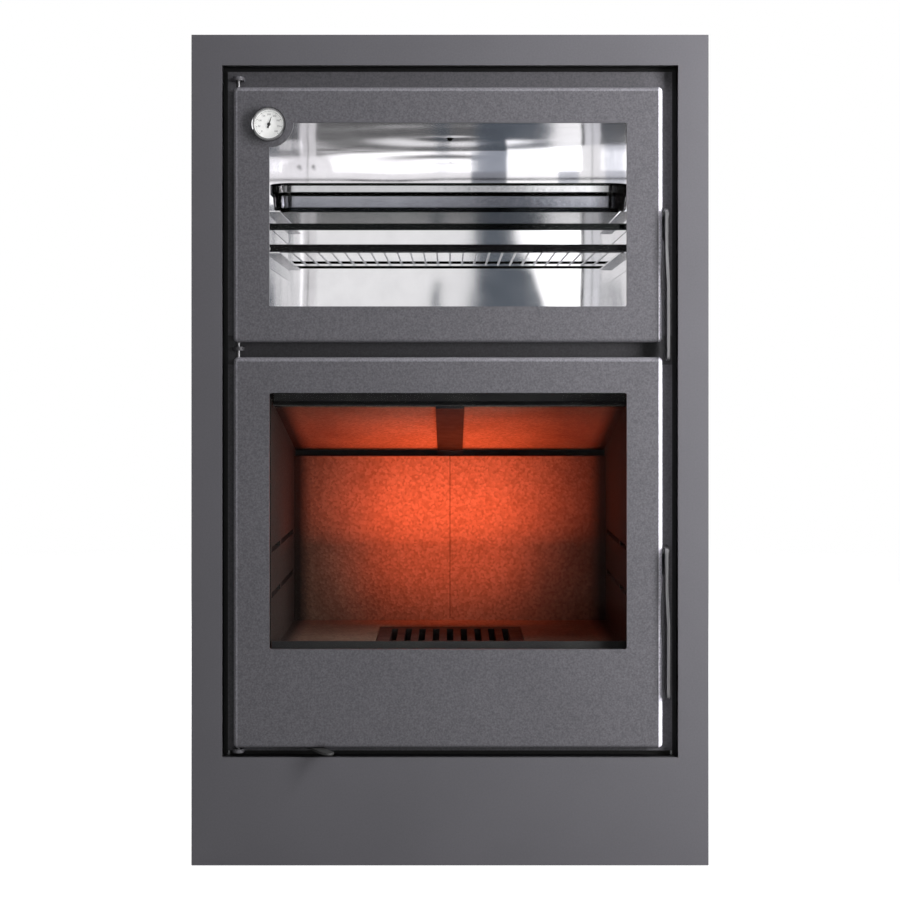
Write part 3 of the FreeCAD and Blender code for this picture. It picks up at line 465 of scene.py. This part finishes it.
def vermiculite(name):
    look = Look(name)
    flake = look.cells(board_flake)
    board = look.two_tone(flake, (0.25, 0.2, 0.14), (0.4, 0.33, 0.24), start=0.15, end=0.85)
    away = look.distance_from((0.0, firebox_back, firebox_floor + clean_rise), clean_stretch)
    ragged = look.spread(look.noise(scale=14, detail=5), -clean_raggedness, clean_raggedness)
    reach = look.maths("ADD", away, ragged)
    soot = look.two_tone(reach, white, (0.42, 0.37, 0.35), start=0.35, end=0.95)
    # Soot with painted shade: the sides are made far darker than their board
    sides = look.spread(look.maths("ABSOLUTE", look.axis("X")), 1.0, side_soot_and_shade, *side_soot_and_shade_reach)
    look.set(base_color=look.times(look.times(board, soot), sides))
    look.rough(flake, smooth=0.82, dull=0.97)
    return look.bump(look.cells(board_flake, output="Distance"), height=0.0007).material


# Glass: its refraction, and the share of mirroring from which it starts to show
glass_ior = 1.46
glass_onset = 0.05


def clear_glass(name, tint, least, most):
    """Thin glass: clear from the front, more mirror-like at a low angle."""
    look = Look(name)
    smear = look.noise(scale=9, detail=4, stretch=(1, 1, 0.4))
    mirrored = look.add("ShaderNodeFresnel", {"IOR": glass_ior}).outputs["Fac"]
    look.set(base_color=tint, metallic=1.0, alpha=look.spread(mirrored, least, most, start=glass_onset))
    return look.set(roughness=look.spread(smear, low=0.0, high=0.006, start=0.45, end=0.8)).material


# Share of the fibres in the relief of the rope
fibre_share = 0.3


def braided_rope(name):
    look = Look(name)
    strand = look.waves(scale=170, direction="DIAGONAL", distortion=1.5)
    fibre = look.noise(scale=1400, detail=2)
    tone = look.two_tone(strand, grey(0.02, blue=1), grey(0.12, blue=0.97), start=0.1, end=0.8)
    look.set(base_color=tone, sheen_weight=0.2)
    look.rough(fibre, smooth=0.85, dull=1.0)
    relief = look.maths("ADD", strand, look.maths("MULTIPLY", fibre, fibre_share))
    return look.bump(relief, height=0.0012).material


# Threads of the tape for each metre
tape_threads = 420


def fibre_tape(name):
    look = Look(name)
    weave = look.maths("MULTIPLY", look.waves(tape_threads, "X"), look.waves(tape_threads, "Z"))
    tone = look.two_tone(weave, grey(0.03, blue=1), grey(0.11, blue=0.97), start=0.05)
    look.set(base_color=tone)
    look.rough(look.noise(scale=600, detail=2), smooth=0.85, dull=1.0)
    return look.bump(weave, height=0.0004).material


# Brushing runs upright: how it stretches, and its darkest and lightest share of the steel's tone
brushing_stretch = (1, 1, 0.02)
brushing_dark = 0.82
brushing_light = 1.12


def brushed_steel(name, level, roughness):
    look = Look(name)
    brushing = look.noise(scale=900, detail=2, stretch=brushing_stretch)
    dark = grey(level * brushing_dark, blue=1.02)
    light = grey(level * brushing_light, blue=1.02)
    look.set(base_color=look.two_tone(brushing, dark, light), metallic=1.0)
    look.rough(brushing, smooth=roughness - 0.06, dull=roughness + 0.08)
    return look.bump(brushing, height=0.00006).material


def chrome(name):
    look = Look(name)
    haze = look.noise(scale=260)
    tone = look.two_tone(haze, grey(0.18, blue=1.02), grey(0.24, blue=1.02))
    look.set(base_color=tone, metallic=1.0)
    look.rough(haze, smooth=0.06, dull=0.14)
    return look.bump(look.noise(scale=1800, detail=2), height=0.00001).material


# Painted light: glow that the white dial adds to what falls on it, though it is no lamp, filling the shadow
# of its rim
dial_painted_glow = 0.5


def enamel_white(name):
    look = Look(name)
    age = look.noise(scale=180)
    # Painted light: the face's tone is held low and it glows evenly, though it is no lamp
    look.set(base_color=look.two_tone(age, (0.42, 0.42, 0.41), (0.5, 0.5, 0.49)))
    look.set(emission_color=(1, 1, 0.99, 1), emission_strength=dial_painted_glow)
    return look.rough(age, smooth=0.25, dull=0.4).material


# Worn ink is this much lighter
ink_wear = 1.6


def print_ink(name, level):
    look = Look(name)
    wear = look.noise(scale=900)
    tone = look.two_tone(wear, grey(level, blue=1.0), grey(level * ink_wear, blue=1.0), end=0.75)
    look.set(base_color=tone)
    return look.rough(wear, smooth=0.45, dull=0.65).material


finishes = {
    # The three stove paints carry painted shade in the trim's lip and between the doors, and painted
    # highlights on the door edges
    "trim_paint": stove_paint("trim_paint", 0.1, roughness=0.45, grain=0.05, painted_light=painted_lip_shadow),
    "door_paint": stove_paint("door_paint", 0.095, roughness=0.42, grain=0.25, painted_light=painted_edge_highlights),
    "face_paint": stove_paint("face_paint", 0.08, roughness=0.5, grain=0.2, painted_light=painted_shade_between_doors),
    "casing_steel": galvanised("casing_steel"),
    "body_steel": black_paint("body_steel"),
    "oven_stainless": polished_stainless("oven_stainless"),
    "rack_wire": rack_wire("rack_wire"),
    "tray_steel": tray_steel("tray_steel"),
    "cast_grate": cast_iron("cast_grate"),
    "refractory": vermiculite("refractory"),
    "door_glass": clear_glass("door_glass", (0.3, 0.3, 0.29, 1.0), least=0.004, most=0.4),
    "rope_seal": braided_rope("rope_seal"),
    "glass_gasket": fibre_tape("glass_gasket"),
    "handle_steel": brushed_steel("handle_steel", 0.24, roughness=0.38),
    "plain_steel": brushed_steel("plain_steel", 0.16, roughness=0.45),
    "dial_chrome": chrome("dial_chrome"),
    "dial_face": enamel_white("dial_face"),
    "dial_lens": clear_glass("dial_lens", (0.4, 0.4, 0.4, 1.0), least=0.004, most=0.3),
    "dial_needle": print_ink("dial_needle", 0.02),
}

# Nodes whose finish differs from that of their slot
own_finishes = {
    "oven_runners": runner_steel("runner_steel"),
    "oven_ceiling_bolt": black_bar("bolt_black"),
}


def dress_frame():
    for node in nodes.values():
        for place, worn in enumerate(node.data.materials):
            node.data.materials[place] = finishes[worn.name.split(".")[0]]
    for name, finish in own_finishes.items():
        nodes[name].data.materials[0] = finish
    for name in unmirrored_nodes:
        nodes[name].visible_glossy = False


def mesh_piece(name, shape, material):
    mesh = bpy.data.meshes.new(name)
    shape.to_mesh(mesh)
    shape.free()
    mesh.materials.append(material)
    piece = bpy.data.objects.new(name, mesh)
    scene.collection.objects.link(piece)
    return piece


# Corners of a CAD node that lie this close are one
weld_distance = 1e-6


def solids_of(node):
    """Lowest and highest corner of each separate solid of a CAD node."""
    shape = bmesh.new()
    shape.from_mesh(nodes[node].data)
    bmesh.ops.remove_doubles(shape, verts=shape.verts, dist=weld_distance)
    left = set(shape.verts)
    found = []
    while left:
        reached = {left.pop()}
        edge = list(reached)
        while edge:
            near = {e.other_vert(v) for v in edge for e in v.link_edges} - reached
            reached |= near
            edge = list(near)
        left -= reached
        low = Vector(min(v.co[i] for v in reached) for i in range(3))
        high = Vector(max(v.co[i] for v in reached) for i in range(3))
        found.append((low, high))
    shape.free()
    return sorted(found, key=lambda pair: tuple(round(value, 4) for value in pair[0]))


# Dial: a ring of ticks and plain numbers printed on the white face
scale_start = math.radians(-135)
scale_end = math.radians(135)
scale_steps = 40
scale_major = 5
number_step = 50
tick_outer = 0.93 * dial_radius
tick_minor = 0.05 * dial_radius
tick_long = 0.1 * dial_radius
tick_width = 0.012 * dial_radius
tick_major_width = 1.6 * tick_width
number_ring = 0.68 * dial_radius
number_height = 0.17 * dial_radius
print_height = 0.00005
print_tone = 0.16
print_front = Vector((dial_place.x, dial_low.y - print_height, dial_place.z))


def dial_angle(step):
    return scale_start + (scale_end - scale_start) * step / scale_steps


def dial_ticks(material):
    shape = bmesh.new()
    for step in range(scale_steps + 1):
        major = step % scale_major == 0
        inner = tick_outer - (tick_long if major else tick_minor)
        half = tick_major_width if major else tick_width
        turn = Matrix.Rotation(dial_angle(step), 4, "Y")
        corners = [(-half, inner), (half, inner), (half, tick_outer), (-half, tick_outer)]
        shape.faces.new([shape.verts.new(turn @ Vector((x, 0, z))) for x, z in corners])
    bmesh.ops.translate(shape, verts=shape.verts, vec=print_front)
    return mesh_piece("dial_ticks", shape, material)


def dial_numbers(material):
    shape = bmesh.new()
    upright = Matrix.Rotation(math.pi / 2, 4, "X")
    for step in range(0, scale_steps + 1, scale_major):
        text = bpy.data.curves.new("number", "FONT")
        text.body = str(number_step * step // scale_major)
        text.align_x = "CENTER"
        text.align_y = "CENTER"
        text.size = number_height
        holder = bpy.data.objects.new("number", text)
        scene.collection.objects.link(holder)
        bpy.context.view_layer.update()
        depsgraph = bpy.context.evaluated_depsgraph_get()
        drawn = bpy.data.meshes.new_from_object(holder.evaluated_get(depsgraph))
        angle = dial_angle(step)
        away = Vector((number_ring * math.sin(angle), 0, number_ring * math.cos(angle)))
        drawn.transform(Matrix.Translation(print_front + away) @ upright)
        shape.from_mesh(drawn)
        bpy.data.objects.remove(holder)
    return mesh_piece("dial_numbers", shape, material)


def dress_dial():
    ink = print_ink("dial_print", print_tone)
    for piece in (dial_ticks(ink), dial_numbers(ink)):
        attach(piece, "oven_door")


# Screws: pan heads with a cross recess, each seated on the face that it holds
screw_radius = 0.0042
screw_height = 0.0022
panel_screw_radius = 0.0048
panel_screw_height = 0.0024
panel_screw_pitch = 0.24
panel_screw_start = panel_screw_pitch / 4
panel_screw_edge = 0.012

# Head: its outline as shares of radius and height, and the recess in and between the arms of its cross
head_sides = 20
head_outline = [(1.0, 0.0), (1.0, 0.35), (0.9, 0.72), (0.62, 0.95), (0.34, 1.0)]
arm_recess = (0.3, 0.45)
between_recess = (0.14, 0.9)
arm_count = 4


def band(shape, lower, upper):
    """Joins two loops of corners with a ring of faces."""
    count = len(lower)
    for step in range(count):
        following = (step + 1) % count
        shape.faces.new([lower[step], lower[following], upper[following], upper[step]])


def screw_head(shape, place, forward, radius, height):
    """Adds a pan head whose flat back is at place and whose front looks along forward."""
    turn = forward.to_track_quat("Z", "Y").to_matrix().to_4x4()
    seat = Matrix.Translation(place) @ turn

    def corner(step, size, lift):
        angle = 2 * math.pi * step / head_sides
        reach = radius * size
        at = Vector((reach * math.cos(angle), reach * math.sin(angle), height * lift))
        return shape.verts.new(seat @ at)

    loops = []
    for size, lift in head_outline:
        loops.append([corner(step, size, lift) for step in range(head_sides)])
    recess = []
    for step in range(head_sides):
        in_arm = step % (head_sides // arm_count) == 0
        recess.append(corner(step, *(arm_recess if in_arm else between_recess)))
    loops.append(recess)
    for lower, upper in zip(loops, loops[1:]):
        band(shape, lower, upper)
    shape.faces.new(recess)
    shape.faces.new(list(reversed(loops[0])))


def screws(name, body, slot, seats, radius, height):
    shape = bmesh.new()
    for place, forward in seats:
        screw_head(shape, place, forward, radius, height)
    bmesh.ops.recalc_face_normals(shape, faces=shape.faces)
    for face in shape.faces:
        face.smooth = True
    piece = mesh_piece(name, shape, finishes[slot])
    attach(piece, body)


def panel_stations(start, end):
    """Even places for screws between the ends of a panel."""
    first = start + panel_screw_start
    last = end - panel_screw_edge
    count = max(1, round((last - first) / panel_screw_pitch))
    return [first + (last - first) * step / count for step in range(count + 1)]


def dress_screws():
    for door in ("oven", "fire"):
        seats = []
        for low, high in solids_of(f"{door}_glass_clips"):
            middle = (low + high) / 2
            seats.append((Vector((middle.x, high.y, middle.z)), REAR))
        screws(f"{door}_clip_screws", f"{door}_door", "plain_steel", seats, screw_radius, screw_height)

    panel_size = (panel_screw_radius, panel_screw_height)
    back_low, back_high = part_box("casing_back")
    seats = []
    for z in panel_stations(back_low.z, back_high.z):
        for x in (back_low.x + panel_screw_edge, back_high.x - panel_screw_edge):
            seats.append((Vector((x, back_high.y, z)), REAR))
    screws("casing_back_screws", "casing", "plain_steel", seats, *panel_size)

    for side, forward in (("left", -RIGHT), ("right", RIGHT)):
        side_low, side_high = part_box(f"casing_{side}_side")
        face_x = side_low.x if side == "left" else side_high.x
        seats = []
        for y in panel_stations(side_low.y, side_high.y):
            for z in (side_low.z + panel_screw_edge, side_high.z - panel_screw_edge):
                seats.append((Vector((face_x, y, z)), forward))
        screws(f"casing_{side}_screws", "casing", "plain_steel", seats, *panel_size)


# Rack rail: a folded strip that closes the front between the rack's two cross bars
rail_sheet = 0.0008
rail_return = 0.0035
rail_drop = 0.0015
rail_rise = 0.0012
rail_end = 0.006
rail_chamfer = 0.0006


def rack_rail():
    front = rack_low.y - rail_sheet
    top = rack_high.z - rail_drop
    bottom = rack_low.z + rail_rise
    back = rack_low.y + rail_return
    outer = [(back, top), (front + rail_chamfer, top), (front, top - rail_chamfer)]
    outer += [(front, bottom + rail_chamfer), (front + rail_chamfer, bottom), (back, bottom)]
    inner = [(back, bottom + rail_sheet), (rack_low.y, bottom + rail_sheet)]
    inner += [(rack_low.y, top - rail_sheet), (back, top - rail_sheet)]
    shape = bmesh.new()
    ends = []
    for x in (rack_low.x + rail_end, rack_high.x - rail_end):
        ends.append([shape.verts.new((x, y, z)) for y, z in outer + inner])
    band(shape, *ends)
    shape.faces.new(ends[0])
    shape.faces.new(list(reversed(ends[1])))
    bmesh.ops.recalc_face_normals(shape, faces=shape.faces)
    piece = mesh_piece("oven_rack_rail", shape, black_bar("rack_rail_black"))
    piece.visible_glossy = False
    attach(piece, "casing")


# Studio
def stage_object(name, shape, material):
    piece = mesh_piece(name, shape, material)
    return piece


def floor_material():
    look = Look("studio_floor")
    look.set(base_color=look.two_tone(look.noise(scale=3), (0.28, 0.28, 0.28), (0.32, 0.32, 0.32)))
    away = look.distance_from((0, 0, 0))
    seen = look.add("ShaderNodeLightPath").outputs["Is Camera Ray"]
    near = look.spread(away, *floor_glow, *floor_glow_reach)
    glow = look.maths("MULTIPLY", near, look.spread(seen, floor_bounce, 1.0))
    look.set(emission_color=(1, 1, 1, 1), emission_strength=glow)
    look.set(alpha=look.spread(away, 1.0, 0.0, *floor_fade))
    return look.set(roughness=0.9, specular=0.1).material


def wall_material():
    look = Look("backdrop")
    wave = look.spread(look.noise(scale=2, detail=2), -wall_waviness, wall_waviness)
    height = look.maths("ADD", look.axis("Z"), wave)
    across = look.axis("X")
    low = look.spread(across, *wall_low_tones, *wall_change_across)
    high = look.spread(across, *wall_high_tones, *wall_change_across)
    share = look.spread(height, 0.0, 1.0, *wall_change)
    added = look.maths("MULTIPLY", share, look.maths("SUBTRACT", high, low))
    look.set(base_color=(0, 0, 0, 1), specular=0.0)
    return look.set(emission_color=(1, 1, 1, 1), emission_strength=look.maths("ADD", low, added)).material


def wedge_material():
    look = Look("backdrop_wedge")
    lighter = [level * wedge_lightening for level in wedge_shade]
    tone = look.two_tone(look.noise(scale=3, detail=2), wedge_shade, lighter)
    look.set(base_color=(0, 0, 0, 1), specular=0.0)
    return look.set(emission_color=tone, emission_strength=1.0).material


def upright_card(name, outline, y, material):
    shape = bmesh.new()
    shape.faces.new([shape.verts.new((x, y, z)) for x, z in outline])
    stage_object(name, shape, material).visible_camera = False


def area_light(name, place, target, width, height, watts, colour):
    data = bpy.data.lights.new(name, "AREA")
    data.shape = "RECTANGLE"
    data.size = width
    data.size_y = height
    data.energy = watts
    data.color = colour
    lamp = bpy.data.objects.new(name, data)
    lamp.location = place
    lamp.rotation_euler = (Vector(target) - Vector(place)).to_track_quat("-Z", "Y").to_euler()
    lamp.visible_camera = False
    scene.collection.objects.link(lamp)
    return lamp


def light_inside(name, place, direction, width, height, radiance, colour):
    """A lit rectangle inside the object, which no glass bends."""
    watts = math.pi * width * height * radiance
    lamp = area_light(name, place, place + Vector(direction), width, height, watts, colour)
    lamp.visible_transmission = False
    return lamp


def build_surround():
    shape = bmesh.new()
    bmesh.ops.create_circle(shape, cap_ends=True, segments=floor_sides, radius=floor_radius)
    floor = stage_object("studio_floor", shape, floor_material())
    floor.location.z = cad_low.z
    wall_y = trim_front - camera_distance - wall_distance
    wall_outline = [(-wall_half, 0), (wall_half, 0), (wall_half, wall_height), (-wall_half, wall_height)]
    upright_card("backdrop", wall_outline, wall_y, wall_material())
    shade = wedge_material()
    upright_card("backdrop_wedge", wedge_outline, wall_y + wedge_gap, shade)
    upright_card("backdrop_strip", strip_outline, wall_y + wedge_gap, shade)

    world = bpy.data.worlds.new("studio")
    scene.world = world
    world.use_nodes = True
    tree = world.node_tree
    seen = tree.nodes.new("ShaderNodeLightPath").outputs["Is Camera Ray"]
    level = tree.nodes.new("ShaderNodeMapRange")
    tree.links.new(seen, level.inputs["Value"])
    level.inputs["To Min"].default_value = world_light
    level.inputs["To Max"].default_value = world_seen
    back = tree.nodes["Background"]
    back.inputs["Color"].default_value = (1, 1, 1, 1)
    tree.links.new(level.outputs["Result"], back.inputs["Strength"])


def build_lights():
    for name, setting in soft_lights.items():
        area_light(name, *setting)
    frame_y = face_high.y + oven_light_setback
    for name, (across, heights, radiance, colour) in oven_lights.items():
        width = across[1] - across[0]
        height = heights[1] - heights[0]
        place = Vector((sum(across) / 2, frame_y, sum(heights) / 2))
        light_inside(name, place, REAR, width, height, radiance, colour)
    for name, ((x, depth, rise), direction, (width, height), radiance) in firebox_lights.items():
        place = Vector((x, trim_front + depth, firebox_floor + rise))
        lamp = light_inside(name, place, direction, width, height, radiance, firebox_colour)
        lamp.visible_glossy = False


def build_camera():
    data = bpy.data.cameras.new("photo_camera")
    data.sensor_width = sensor_width
    data.lens = sensor_width * camera_distance / picture_width
    data.shift_y = (picture_centre_height - eye_height) / picture_width
    camera = bpy.data.objects.new("photo_camera", data)
    camera.location = (0, trim_front - camera_distance, eye_height)
    camera.rotation_euler = (math.pi / 2, 0, 0)
    scene.collection.objects.link(camera)
    scene.camera = camera
    scene.view_settings.view_transform = "Standard"


dress_frame()
dress_dial()
dress_screws()
rack_rail()
build_surround()
build_lights()
build_camera()
